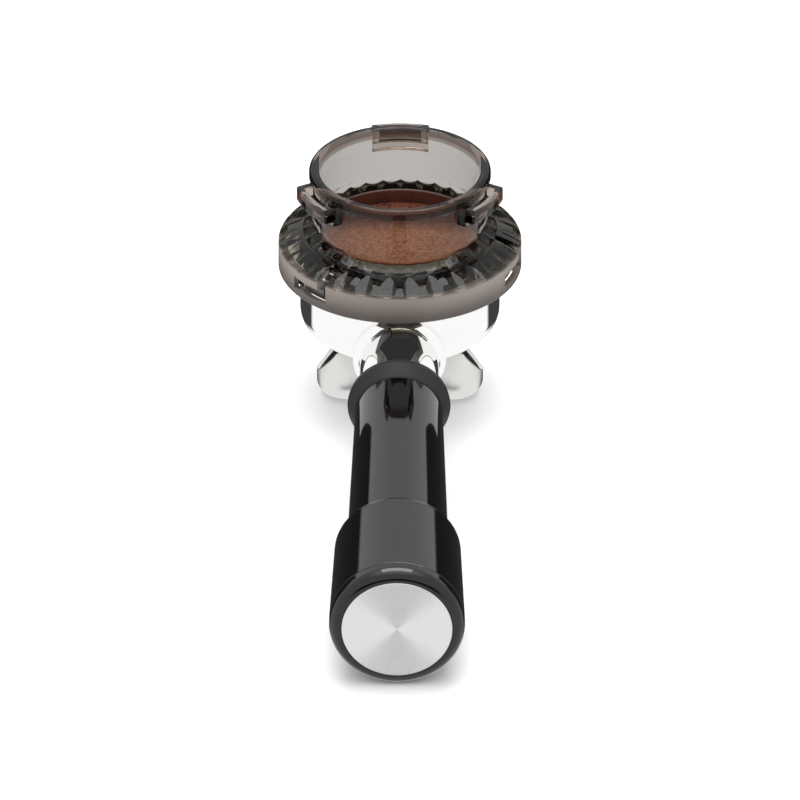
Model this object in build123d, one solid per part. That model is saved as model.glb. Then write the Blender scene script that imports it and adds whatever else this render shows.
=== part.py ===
from build123d import *
from math import cos, radians, sin
import os

# Espresso portafilter with twin spout and black handle, standing on the bench with a basket of
# ground coffee in it and a see-through dosing funnel on top.
# Millimetres. Origin on the bowl's axis at the foot of the spout, +Z up that axis, handle along -Y.
# Azimuths are degrees about +Z, counted from +X.

# ---- bowl, ears and neck ---------------------------------------------------------------------
bowl_r = 33.6
bowl_wall = 4.2
bowl_base_z = 26.0
bowl_rim_z = 60.2
bowl_floor = 4.5
bowl_edge_round = 8.0
bowl_lip_round = 0.8
floor_round = 3.0
boss_r = 12.0
boss_foot_z = 19.8

ear_count = 3
ear_first_azimuth = 98.0
ear_arc = 22.0
ear_reach = 5.0
ear_height = 4.0
ear_below_rim = 4.5

neck_r = 13.4
neck_flare = 2.2
handle_drop = 3.35
ring_y = -61.8
spigot_r = 8.0
spigot_length = 14.0
tie_rod_r = 4.0
tie_rod_grip = 23.0

# ---- basket, its spring, the liner and the grounds ---------------------------------------------
basket_side_gap = 1.6
basket_wall = 0.6
basket_depth = 24.0
basket_flange_rest = 1.8
basket_flange_height = 2.6
basket_corner_round = 3.0
basket_roll_round = 1.1
basket_lip_round = 0.8
strainer_margin = 3.7
strainer_hole_r = 0.55
strainer_rings = 6

spring_wire_r = 0.75
spring_below_rim = 9.0
spring_gap_arc = 24.0

liner_wall = 1.2
liner_height = 5.0

grounds_below_rim = 4.2
grounds_mound = 0.7
grounds_crown_round = 20.0

# ---- dosing funnel ---------------------------------------------------------------------------------
throat_inset = 0.2
throat_wall = 2.6
funnel_height = 23.1
funnel_rim_reach = 0.95
funnel_rim_height = 3.4
funnel_rim_fall = 0.6
funnel_mouth_round = 1.3
funnel_rim_round = 1.5
shoulder_rise = 3.5
shoulder_step_top = 1.0
shoulder_step_foot = -0.4
shoulder_step_reach = 1.0
slope_end_in = 2.9
slope_end_drop = 2.6
skirt_wall = 1.9
skirt_below_ears = 2.5
skirt_edge_drop = 4.4
skirt_inner_drop = 1.4
scallop_count = 30
scallop_depth = 0.8
scallop_fall = 4.9

lug_count = 3
lug_first_azimuth = 90.0
lug_width = 19.4
lug_corner_round = 2.0
lug_reach = 6.1
lug_height = 5.1
lug_bar = 2.2
lug_end_wall = 2.4
lug_floor = 1.7
lug_root_reach = 3.2
lug_below_rim = 2.6

window_lead = 8.0
window_arc = 22.6
window_height = 4.2
window_leg_arc = 5.1
window_sill = 2.8

catch_arc = 24.0
catch_height = 2.0
catch_stop_arc = 3.0
catch_lead_gap = 4.0
stop_gap = 0.5
lock_turn = 28.0

# ---- twin spout ------------------------------------------------------------------------------------
spout_reach = 28.0
spout_half_depth = 11.2
spout_lip_half_width = 4.4
spout_shoulder_z = 16.6
spout_wall = 1.5
spout_hub_r = 11.0
spout_hub_foot_z = 2.0
spout_tip_run = 6.5
spout_tip_low_z = 4.5
spout_tip_high_z = 8.6
spout_shoulder_round = 6.0
spout_corner_round = 4.0
spout_tip_round = 1.0
spout_belly_tuck = 3.7
spout_belly_rise = 4.0
spout_foot_round = 3.0
spout_channel_roof = 5.0
spout_outlet_r = 3.0
spout_outlet_x = 18.0
gasket_thickness = 1.2
spout_screw_r = 5.0
spout_screw_bore_r = 3.4
spout_screw_head_r = 7.5
spout_screw_head = 3.0
spout_screw_reach = 3.0

# ---- handle, measured along its own axis from the widest circle of the collar ring -------------
ring_r = 17.25
ring_back = 3.0
ring_front = 5.5
sleeve_start_r = 14.7
sleeve_end_r = 16.9
core_r = 11.0
grip_start = 85.0
grip_length = 43.1
grip_step = 3.9
grip_end_r = 22.35
grip_nose_round = 3.5
grip_socket = 3.0
grip_wall = 3.0
cap_length = 6.2
cap_round = 3.7
cap_rim = 4.05
cap_spigot = 6.0
disc_thickness = 1.0
pad_thickness = 0.4
pad_inset = 1.0
core_past_grip = 8.0
washer_thickness = 1.6
washer_r = 10.5
spring_washer_thickness = 2.2
spring_washer_width = 3.0
nut_across_flats = 13.0
nut_height = 6.5
nut_chamfer = 0.6
washer_slot = 0.8
rod_past_nut = 2.0

# ---- fits ------------------------------------------------------------------------------------------
seat_gap = 0.3
side_gap = 0.4
slip_fit = 0.1
rod_gap = 0.4
edge_break = 0.3
edge_round = 0.6

# ---- heights and places that follow ----------------------------------------------------------
bowl_bore_r = bowl_r - bowl_wall
basket_bore_r = bowl_bore_r - basket_side_gap - basket_wall
basket_flange_r = bowl_bore_r + basket_flange_rest
strainer_r = basket_bore_r - strainer_margin
ear_top_z = bowl_rim_z - ear_below_rim
ear_foot_z = ear_top_z - ear_height
ear_tip_r = bowl_r + ear_reach
basket_rim_z = bowl_rim_z + seat_gap + basket_flange_height
funnel_seat_z = basket_rim_z + seat_gap
funnel_top_z = funnel_seat_z + funnel_height
throat_r = basket_bore_r - throat_inset
throat_outer_r = throat_r + throat_wall
shoulder_r = basket_flange_r + side_gap
funnel_rim_r = throat_outer_r + funnel_rim_reach
skirt_foot_z = ear_foot_z - skirt_below_ears
skirt_bore_r = ear_tip_r + side_gap
skirt_r = skirt_bore_r + skirt_wall
skirt_edge_z = funnel_seat_z - skirt_edge_drop
hub_top_z = boss_foot_z - gasket_thickness
grip_start_r = sleeve_end_r + grip_step
cap_start = grip_start + grip_length
cap_end = cap_start + cap_length
disc_r = grip_end_r - cap_rim
drop_sine = sin(radians(handle_drop))
drop_cosine = cos(radians(handle_drop))
ring_z = (cap_end - cap_round) * drop_sine + (grip_end_r - cap_round) * drop_cosine + cap_round
handle_frame = Plane(
    origin=(0, ring_y, ring_z),
    x_dir=(1, 0, 0),
    z_dir=(0, -drop_cosine, -drop_sine),
)
core_end = grip_start + grip_socket + core_past_grip


def turned(*corners):
    """Solid of revolution about Z from (radius, height, corner round) triples."""
    rounds = [corner[2] for corner in corners]
    outline = FilletPolyline(*[(r, 0, z) for r, z, _ in corners], radius=rounds, close=True)
    return revolve(make_face(outline), Axis.Z)


def tube(outer, inner, low, high, edge=0.0):
    """Plain ring between two radii and two heights, with its outer corners rounded."""
    return turned((inner, low, 0), (outer, low, edge), (outer, high, edge), (inner, high, 0))


def sector(start, arc, reach, low, high):
    """Wedge from the axis out to reach, from azimuth start over arc degrees, between two heights."""
    spokes = [(reach * cos(radians(start)), reach * sin(radians(start)))]
    spokes.append((reach * cos(radians(start + arc)), reach * sin(radians(start + arc))))
    bulge = reach / cos(radians(arc / 2))
    tip = (bulge * cos(radians(start + arc / 2)), bulge * sin(radians(start + arc / 2)))
    outline = Polyline((0, 0), spokes[0], tip, spokes[1], close=True)
    return extrude(Pos(0, 0, low) * make_face(outline), high - low)


def around(piece, count):
    """Copies of piece spaced evenly about Z."""
    return [Rot(0, 0, 360 * turn / count) * piece for turn in range(count)]


def along_handle(piece):
    """Piece moved from the handle's own frame to its place."""
    return handle_frame.location * piece


def portafilter_bowl():
    """Cast bowl with three bayonet ears, outlet boss, and the neck with its spigot for the handle."""
    bowl = turned(
        (0, bowl_base_z, 0),
        (bowl_r, bowl_base_z, bowl_edge_round),
        (bowl_r, bowl_rim_z, bowl_lip_round),
        (0, bowl_rim_z, 0),
    )
    boss = Pos(0, 0, boss_foot_z) * Cylinder(
        boss_r, bowl_base_z - boss_foot_z + 1, align=(Align.CENTER, Align.CENTER, Align.MIN)
    )
    neck_length = -ring_y / drop_cosine - ring_back
    neck = turned(
        (0, -ring_back, 0),
        (neck_r, -ring_back, edge_break),
        (neck_r, bowl_r + ring_y + neck_flare, neck_flare),
        (neck_r + neck_flare, bowl_r + ring_y, 0),
        (neck_r + neck_flare, bowl_r + ring_y - neck_flare, 0),
        (neck_r - neck_flare, -neck_length, 0),
        (0, -neck_length, 0),
    )
    under_neck = Pos(0, 0, boss_foot_z) * Box(
        2 * bowl_r, 4 * bowl_r, bowl_rim_z, align=(Align.CENTER, Align.CENTER, Align.MIN)
    )
    spigot = Pos(0, 0, -ring_back) * Cylinder(
        spigot_r, spigot_length, align=(Align.CENTER, Align.CENTER, Align.MIN)
    )
    ear_ring = tube(ear_tip_r, bowl_r - bowl_wall / 2, ear_foot_z, ear_top_z, edge_round)
    ear = ear_ring & sector(ear_first_azimuth - ear_arc / 2, ear_arc, 2 * bowl_r, ear_foot_z, ear_top_z)
    body = bowl + boss + (along_handle(neck) & under_neck) + along_handle(spigot) + around(ear, ear_count)
    cavity = turned(
        (0, bowl_base_z + bowl_floor, 0),
        (bowl_bore_r, bowl_base_z + bowl_floor, floor_round),
        (bowl_bore_r, bowl_rim_z + 1, 0),
        (0, bowl_rim_z + 1, 0),
    )
    groove_z = bowl_rim_z - spring_below_rim
    groove_r = spring_wire_r + slip_fit
    groove = Pos(0, 0, groove_z) * Torus(bowl_bore_r, groove_r)
    outlet = Pos(0, 0, boss_foot_z - 1) * Cylinder(
        spout_screw_r, bowl_base_z, align=(Align.CENTER, Align.CENTER, Align.MIN)
    )
    rod_hole = along_handle(
        Pos(0, 0, spigot_length - ring_back - tie_rod_grip - rod_gap) * Cylinder(
            tie_rod_r, 2 * tie_rod_grip, align=(Align.CENTER, Align.CENTER, Align.MIN)
        )
    )
    return body - cavity - groove - outlet - rod_hole


def bowl_liner():
    """Moulded cup in the bottom of the bowl that leads the coffee to the outlet."""
    r = bowl_bore_r - slip_fit
    low = bowl_base_z + bowl_floor
    return turned(
        (spout_screw_head_r + slip_fit, low, 0),
        (r, low, floor_round),
        (r, low + liner_height, 0),
        (r - liner_wall, low + liner_height, 0),
        (r - liner_wall, low + liner_wall, floor_round - liner_wall),
        (spout_screw_head_r + slip_fit, low + liner_wall, 0),
    )


def basket_spring():
    """Wire ring in the bowl's groove that grips the basket, with a gap to let it open."""
    ring = Pos(0, 0, bowl_rim_z - spring_below_rim) * Torus(bowl_bore_r, spring_wire_r)
    gap = sector(90 - spring_gap_arc / 2, spring_gap_arc, 2 * bowl_r, 0, bowl_rim_z)
    return ring - gap


def filter_basket():
    """Pressed steel basket with a rolled rim and a field of strainer holes."""
    outer_r = basket_bore_r + basket_wall
    foot_z = basket_rim_z - basket_depth
    flange_z = basket_rim_z - basket_flange_height
    shell = turned(
        (0, foot_z, 0),
        (outer_r, foot_z, basket_corner_round + basket_wall),
        (outer_r, flange_z, 0),
        (basket_flange_r, flange_z, basket_roll_round),
        (basket_flange_r, basket_rim_z, basket_roll_round),
        (basket_bore_r, basket_rim_z, basket_lip_round),
        (basket_bore_r, foot_z + basket_wall, basket_corner_round),
        (0, foot_z + basket_wall, 0),
    )
    pitch = strainer_r / strainer_rings
    hole = Pos(0, 0, foot_z - 1) * Cylinder(
        strainer_hole_r, basket_wall + 2, align=(Align.CENTER, Align.CENTER, Align.MIN)
    )
    holes = [hole]
    for ring in range(1, strainer_rings):
        holes += around(Pos(ring * pitch, 0, 0) * hole, 6 * ring)
    return shell - holes


def coffee_grounds():
    """Loose dose of ground coffee, slightly heaped."""
    r = basket_bore_r - slip_fit
    low = basket_rim_z - basket_depth + basket_wall
    heap_z = basket_rim_z - grounds_below_rim
    return turned(
        (0, low, 0),
        (r, low, basket_corner_round),
        (r, heap_z - grounds_mound, 0),
        (0.6 * r, heap_z, grounds_crown_round),
        (0, heap_z, 0),
    )


def lug_slab(width, reach, low, high):
    """Straight-sided block across the axis that gives a lug its parallel ends."""
    plan = RectangleRounded(2 * reach, width, lug_corner_round)
    half = Pos(reach, 0, low) * Box(2 * reach, width, high - low, align=(Align.CENTER, Align.CENTER, Align.MIN))
    return extrude(Pos(0, 0, low) * plan, high - low) & half


def funnel_lug():
    """Open pocket on the throat wall, at azimuth 0: outer bar, two end walls and a floor."""
    top = funnel_top_z - lug_below_rim
    low = top - lug_height
    outer = throat_outer_r + lug_reach
    inner = throat_r + throat_wall / 2
    block = tube(outer, inner, low, top, edge_round) & lug_slab(lug_width, outer, low, top)
    root_low = low - lug_floor
    root_r = throat_outer_r + lug_root_reach
    root = tube(root_r, inner, root_low, low + lug_floor, edge_round)
    root = root & lug_slab(lug_width, outer, root_low, low + lug_floor)
    pocket = tube(outer - lug_bar, throat_outer_r, low + lug_floor, top + lug_floor)
    pocket = pocket & lug_slab(lug_width - 2 * lug_end_wall, 2 * outer, low, top + lug_floor)
    return block + root - pocket


def bayonet_window():
    """Cutter for one L-shaped window beside an ear, its leg running up through the shoulder."""
    start = ear_first_azimuth - window_lead
    low = skirt_foot_z + window_sill
    cut = sector(start, window_arc, 2 * skirt_r, low, low + window_height)
    leg = sector(start + window_arc - window_leg_arc, window_leg_arc, 2 * skirt_r, low, funnel_top_z)
    window = cut + leg
    shoulder_ring = tube(2 * skirt_r, shoulder_r + shoulder_step_reach, skirt_foot_z, funnel_top_z)
    return window & shoulder_ring


def scallop():
    """Cutter for one grip flute down the shoulder, its middle at azimuth 0: a leaning cone."""
    slope_run = skirt_r - shoulder_r
    slope_length = (slope_run**2 + scallop_fall**2) ** 0.5
    pitch = radians(360 / scallop_count)
    high_radius = (shoulder_r * pitch) ** 2 / (8 * scallop_depth)
    low_radius = (skirt_r * pitch) ** 2 / (8 * scallop_depth)
    overrun = slope_length / 3
    spread = (low_radius - high_radius) / 3
    start_radius = high_radius - spread
    end_radius = low_radius + spread
    along = Plane(
        origin=(shoulder_r, 0, funnel_seat_z + shoulder_step_top - scallop_depth),
        x_dir=(0, 1, 0),
        z_dir=(slope_run, 0, -scallop_fall),
    )
    sections = [
        Plane(origin=(0, start_radius, -overrun)) * Circle(start_radius),
        Plane(origin=(0, end_radius, slope_length + overrun)) * Circle(end_radius),
    ]
    return along.location * loft(sections)


def funnel_shell():
    """Throat, shoulder and skirt before the flutes, lugs, catches and windows."""
    seat = funnel_seat_z
    step_r = shoulder_r + shoulder_step_reach
    step_z = seat + shoulder_step_foot
    slope_end_z = seat - slope_end_drop
    return turned(
        (throat_r, seat, 0),
        (throat_r, funnel_top_z, funnel_mouth_round),
        (funnel_rim_r, funnel_top_z, funnel_rim_round),
        (funnel_rim_r, funnel_top_z - funnel_rim_height, 0.9),
        (throat_outer_r, funnel_top_z - funnel_rim_height - funnel_rim_fall, 0.3),
        (throat_outer_r, seat + shoulder_rise, 1.5),
        (shoulder_r, seat + shoulder_step_top, 0.4),
        (step_r, step_z, 0.6),
        (skirt_r - slope_end_in, slope_end_z, 1.2),
        (skirt_r, skirt_edge_z, 1.2),
        (skirt_r, skirt_foot_z, 0.7),
        (skirt_bore_r, skirt_foot_z, 0.3),
        (skirt_bore_r, skirt_edge_z - skirt_inner_drop, 1.0),
        (skirt_bore_r - shoulder_step_reach, slope_end_z - skirt_wall, 0.5),
        (basket_flange_r + 3 * side_gap, step_z - skirt_wall, 0.4),
        (basket_flange_r + side_gap, seat, 0.2),
    )


def funnel_catch():
    """Ledge that passes under one ear when the funnel is turned, with a stop at its end."""
    ear_end = ear_first_azimuth + ear_arc / 2
    outer = skirt_bore_r + skirt_wall / 4
    inner = bowl_r + side_gap
    high = ear_foot_z - seat_gap
    low = high - catch_height
    ledge = tube(outer, inner, low, high)
    ledge = ledge & sector(ear_end + catch_lead_gap, catch_arc, 2 * skirt_r, low, high)
    stop = tube(outer, inner, low, ear_top_z)
    stop = stop & sector(ear_end + lock_turn + stop_gap, catch_stop_arc, 2 * skirt_r, low, ear_top_z)
    return ledge + stop


def funnel():
    """One-piece see-through funnel: throat, scalloped shoulder, skirt, lugs and inner catches."""
    shell = funnel_shell() - around(scallop(), scallop_count)
    for lug in around(Rot(0, 0, lug_first_azimuth) * funnel_lug(), lug_count):
        shell = shell + lug
    for catch in around(funnel_catch(), ear_count):
        shell = shell + catch
    return shell - around(bayonet_window(), ear_count)


def spout_section(half_depth, lip, low, top):
    """Closed outline across the spout: rounded belly, sides leaning in to the lips."""
    right = [(lip, top), (half_depth, low + spout_belly_rise), (half_depth - spout_belly_tuck, low)]
    points = [(0, -y, z) for y, z in right] + [(0, y, z) for y, z in reversed(right)]
    rounds = [0, spout_corner_round, spout_foot_round]
    return make_face(FilletPolyline(*points, radius=rounds + rounds[::-1], close=True))


def spout_profile(reach, low, shoulder_z, top):
    """Closed outline of the spout seen from the handle: two arms that fall away to their tips."""
    tip_x = reach - spout_tip_run
    right = [(0, low), (tip_x, low), (reach, low + spout_tip_low_z), (reach, spout_tip_high_z)]
    right += [(tip_x, shoulder_z), (spout_hub_r, top), (0, top)]
    points = [(x, 0, z) for x, z in right] + [(-x, 0, z) for x, z in reversed(right[1:-1])]
    rounds = [spout_corner_round, spout_corner_round, spout_tip_round]
    rounds += [spout_shoulder_round, spout_shoulder_round]
    return make_face(FilletPolyline(*points, radius=[0] + rounds + [0] + rounds[::-1], close=True))


def spout_form(inset, shoulder_z, top):
    """Outer form of the spout, or its hollow when inset by the wall."""
    reach = spout_reach - inset
    half_depth = spout_half_depth - inset
    profile = extrude(spout_profile(reach, inset, shoulder_z, top), 2 * half_depth, both=True)
    belly = extrude(spout_section(half_depth, spout_lip_half_width - inset, inset, top), 2 * reach, both=True)
    plan = extrude(SlotOverall(2 * reach, 2 * half_depth), top)
    return profile & belly & plan


def spout_body():
    """Twin spout: two open troughs that leave a central hub, each with an outlet in its floor."""
    above_lips = hub_top_z / 3
    hub_height = hub_top_z - spout_hub_foot_z
    hub = Pos(0, 0, spout_hub_foot_z) * Cylinder(
        spout_hub_r, hub_height, align=(Align.CENTER, Align.CENTER, Align.MIN)
    )
    outer = spout_form(0, spout_shoulder_z, hub_top_z) + hub
    hub_block = Box(2 * spout_hub_r, 4 * spout_hub_r, 6 * hub_top_z)
    channels = spout_form(spout_wall, spout_shoulder_z + above_lips, hub_top_z + above_lips)
    channel_roof_z = hub_top_z - spout_channel_roof
    under_hub = channels & Box(2 * spout_hub_r, 4 * spout_hub_r, 2 * channel_roof_z)
    body = outer - (channels - hub_block) - under_hub
    body = body - Pos(0, 0, channel_roof_z - 1) * Cylinder(
        spout_screw_r, 2 * hub_top_z, align=(Align.CENTER, Align.CENTER, Align.MIN)
    )
    for side in (-1, 1):
        body = body - Pos(side * spout_outlet_x, 0, 0) * Cylinder(spout_outlet_r, 4 * spout_wall)
    return body


def spout_gasket():
    """Flat seal between the outlet boss and the spout's hub."""
    return tube(spout_hub_r, spout_screw_r + slip_fit, hub_top_z, boss_foot_z, edge_break)


def spout_screw():
    """Hollow screw that clamps the spout to the bowl and carries the coffee through."""
    floor_z = bowl_base_z + bowl_floor
    foot_z = hub_top_z - spout_screw_reach
    return turned(
        (spout_screw_bore_r, foot_z, 0),
        (spout_screw_r, foot_z, edge_break),
        (spout_screw_r, floor_z, 0),
        (spout_screw_head_r, floor_z, 0),
        (spout_screw_head_r, floor_z + spout_screw_head, edge_round),
        (spout_screw_bore_r, floor_z + spout_screw_head, edge_break),
    )


def handle_ring():
    """Matt collar ring between the neck and the glossy sleeve."""
    return along_handle(turned(
        (core_r + slip_fit, -ring_back, 0),
        (ring_r - 0.5, -ring_back, 1.2),
        (ring_r, 0, 1.0),
        (sleeve_start_r + 0.5, ring_front - 0.6, 1.5),
        (sleeve_start_r, ring_front, 0.2),
        (core_r + slip_fit, ring_front, 0),
    ))


def handle_core():
    """Metal tube on the spigot that carries the tie rod's pull."""
    bore_end = spigot_length - ring_back + rod_gap
    return along_handle(turned(
        (spigot_r + slip_fit, -ring_back, 0),
        (core_r, -ring_back, edge_break),
        (core_r, core_end, edge_break),
        (tie_rod_r + rod_gap, core_end, 0),
        (tie_rod_r + rod_gap, bore_end, 0),
        (spigot_r + slip_fit, bore_end, 0),
    ))


def handle_sleeve():
    """Glossy front tube of the handle, widening slowly towards the grip."""
    end = grip_start + grip_socket
    return along_handle(turned(
        (core_r + slip_fit, ring_front, 0),
        (sleeve_start_r, ring_front, 0.2),
        (sleeve_end_r, end, 0.4),
        (core_r + slip_fit, end, 0),
    ))


def handle_grip():
    """Wide rear shell of the handle, with a socket for the sleeve and a web for the washers."""
    socket_r = sleeve_end_r + slip_fit
    return along_handle(turned(
        (socket_r, grip_start, 0),
        (grip_start_r, grip_start, grip_nose_round),
        (grip_end_r, cap_start, edge_break),
        (grip_end_r - grip_wall, cap_start, 0),
        (grip_end_r - grip_wall, core_end, 1.0),
        (core_r + slip_fit, core_end, 0),
        (core_r + slip_fit, grip_start + grip_socket, 0),
        (socket_r, grip_start + grip_socket, 0),
    ))


def handle_end_cap():
    """Rounded glossy bezel that closes the grip and frames the metal disc."""
    recess = disc_thickness + pad_thickness
    spigot_outer = grip_end_r - grip_wall - slip_fit
    return along_handle(turned(
        (0, cap_start - cap_spigot, 0),
        (spigot_outer, cap_start - cap_spigot, edge_round),
        (spigot_outer, cap_start, 0),
        (grip_end_r, cap_start, edge_break),
        (grip_end_r, cap_end, cap_round),
        (disc_r + slip_fit, cap_end, 0.1),
        (disc_r + slip_fit, cap_end - recess, 0),
        (0, cap_end - recess, 0),
    ))


def end_disc_pad():
    """Adhesive pad behind the metal disc."""
    low = cap_end - disc_thickness - pad_thickness
    high = low + pad_thickness
    pad_r = disc_r - pad_inset
    return along_handle(turned((0, low, 0), (pad_r, low, 0), (pad_r, high, 0), (0, high, 0)))


def handle_end_disc():
    """Spun metal disc let into the end cap."""
    low = cap_end - disc_thickness
    return along_handle(turned((0, low, 0), (disc_r, low, 0), (disc_r, cap_end, edge_break), (0, cap_end, 0)))


def tie_rod():
    """Threaded rod from the neck through the handle's core to the nut."""
    low = spigot_length - ring_back - tie_rod_grip
    high = core_end + washer_thickness + spring_washer_thickness + nut_height + rod_past_nut
    return along_handle(
        turned((0, low, 0), (tie_rod_r, low, edge_round), (tie_rod_r, high, edge_round), (0, high, 0))
    )


def flat_washer():
    """Flat washer under the spring washer, on the core's end."""
    return along_handle(
        tube(washer_r, tie_rod_r + rod_gap, core_end, core_end + washer_thickness, edge_break)
    )


def spring_washer():
    """Split lock washer."""
    low = core_end + washer_thickness
    outer = tie_rod_r + spring_washer_width
    ring = tube(outer, tie_rod_r + rod_gap, low, low + spring_washer_thickness)
    slot = Pos(outer, 0, low) * Box(2 * spring_washer_width, washer_slot, 4 * spring_washer_thickness)
    return along_handle(ring - slot)


def tie_nut():
    """Hexagon nut that holds the handle on the neck."""
    low = core_end + washer_thickness + spring_washer_thickness
    corner_r = nut_across_flats / 2 / cos(radians(30))
    face_r = nut_across_flats / 2 - edge_break
    blank = extrude(RegularPolygon(corner_r, 6), nut_height)
    crown = turned(
        (0, 0, 0),
        (face_r, 0, 0),
        (corner_r, nut_chamfer, 0),
        (corner_r, nut_height - nut_chamfer, 0),
        (face_r, nut_height, 0),
        (0, nut_height, 0),
    )
    hole = Cylinder(tie_rod_r, 3 * nut_height)
    return along_handle(Pos(0, 0, low) * ((blank & crown) - hole))


pieces = [
    portafilter_bowl, bowl_liner, basket_spring, filter_basket, coffee_grounds, funnel,
    spout_body, spout_gasket, spout_screw,
    handle_ring, handle_core, handle_sleeve, handle_grip, handle_end_cap, end_disc_pad, handle_end_disc,
    tie_rod, flat_washer, spring_washer, tie_nut,
]

os.makedirs("parts", exist_ok=True)
for make in pieces:
    export_step(make(), f"parts/{make.__name__}.step")
    print(make.__name__)
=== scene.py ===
"""Looks for an espresso portafilter with a see-through dosing funnel, on a pale bench in soft light."""

import logging
import math
from dataclasses import dataclass, field
from enum import Enum
from typing import Iterable, Mapping, Optional, Sequence, Union

import bmesh
import bpy
import numpy as np
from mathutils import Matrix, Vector

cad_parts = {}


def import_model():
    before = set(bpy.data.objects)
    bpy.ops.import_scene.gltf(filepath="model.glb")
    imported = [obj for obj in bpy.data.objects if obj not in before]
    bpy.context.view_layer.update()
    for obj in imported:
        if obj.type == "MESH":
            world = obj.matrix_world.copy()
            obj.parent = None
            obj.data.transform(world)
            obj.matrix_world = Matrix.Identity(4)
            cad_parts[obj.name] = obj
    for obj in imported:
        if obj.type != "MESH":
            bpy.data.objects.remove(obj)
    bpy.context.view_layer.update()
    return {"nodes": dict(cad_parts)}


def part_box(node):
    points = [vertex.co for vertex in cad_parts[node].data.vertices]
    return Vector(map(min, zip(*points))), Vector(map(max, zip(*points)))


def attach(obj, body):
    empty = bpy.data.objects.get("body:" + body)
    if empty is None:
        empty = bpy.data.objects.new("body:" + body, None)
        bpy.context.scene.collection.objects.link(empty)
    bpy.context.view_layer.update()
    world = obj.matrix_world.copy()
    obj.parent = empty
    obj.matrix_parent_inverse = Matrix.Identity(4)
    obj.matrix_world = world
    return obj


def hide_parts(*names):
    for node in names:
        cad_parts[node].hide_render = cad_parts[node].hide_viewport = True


MM = 0.001
Colour = tuple[float, float, float, float]
Value = Union["Channel", float]

WHITE: Colour = (1.0, 1.0, 1.0, 1.0)
# Painted shade: the dark, dull colour painted on the bowl's ears in place of the shade and dark reflection
# they show.
PAINTED_SHADE_METAL: Colour = (0.16, 0.155, 0.15, 1.0)
PAINTED_SHADE_ROUGHNESS = 0.3

log = logging.getLogger("portafilter")


class Body(Enum):
    """The moving bodies that the new pieces ride on."""

    PORTAFILTER = "portafilter"
    BASKET = "basket"


# ---- shader building ---------------------------------------------------------------------------


class Channel:
    """A node socket that can be used in arithmetic; each operator adds one Math node."""

    def __init__(self, shader: "Shader", socket: bpy.types.NodeSocket) -> None:
        """Keeps the socket and the shader it belongs to.

        Args:
            shader: The tree that gets the new nodes.
            socket: The node's output.
        """
        self.shader = shader
        self.socket = socket

    def _maths(self, operation: str, first: Value, second: Value) -> "Channel":
        """Adds one Math node.

        Args:
            operation: Name of the Math node's operation.
            first: Left operand.
            second: Right operand.

        Returns:
            The node's result.
        """
        return self.shader.node("ShaderNodeMath", {"operation": operation}, {0: first, 1: second})

    def __add__(self, other: Value) -> "Channel":
        """Sum."""
        return self._maths("ADD", self, other)

    def __radd__(self, other: Value) -> "Channel":
        """Sum with a number on the left."""
        return self._maths("ADD", other, self)

    def __sub__(self, other: Value) -> "Channel":
        """Difference."""
        return self._maths("SUBTRACT", self, other)

    def __rsub__(self, other: Value) -> "Channel":
        """Difference with a number on the left."""
        return self._maths("SUBTRACT", other, self)

    def __mul__(self, other: Value) -> "Channel":
        """Product."""
        return self._maths("MULTIPLY", self, other)

    def __rmul__(self, other: Value) -> "Channel":
        """Product with a number on the left."""
        return self._maths("MULTIPLY", other, self)

    def __gt__(self, other: Value) -> "Channel":
        """1 where this value is the greater, else 0."""
        return self._maths("GREATER_THAN", self, other)

    def __lt__(self, other: Value) -> "Channel":
        """1 where this value is the smaller, else 0."""
        return self._maths("LESS_THAN", self, other)

    def smooth(self, low: float, high: float) -> "Channel":
        """Eased ramp from 0 at low to 1 at high.

        Args:
            low: Value that gives 0.
            high: Value that gives 1.

        Returns:
            The eased ramp.
        """
        settings = {"interpolation_type": "SMOOTHSTEP", "clamp": True}
        return self.shader.node("ShaderNodeMapRange", settings, {0: self, 1: low, 2: high, 3: 0.0, 4: 1.0})


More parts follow.
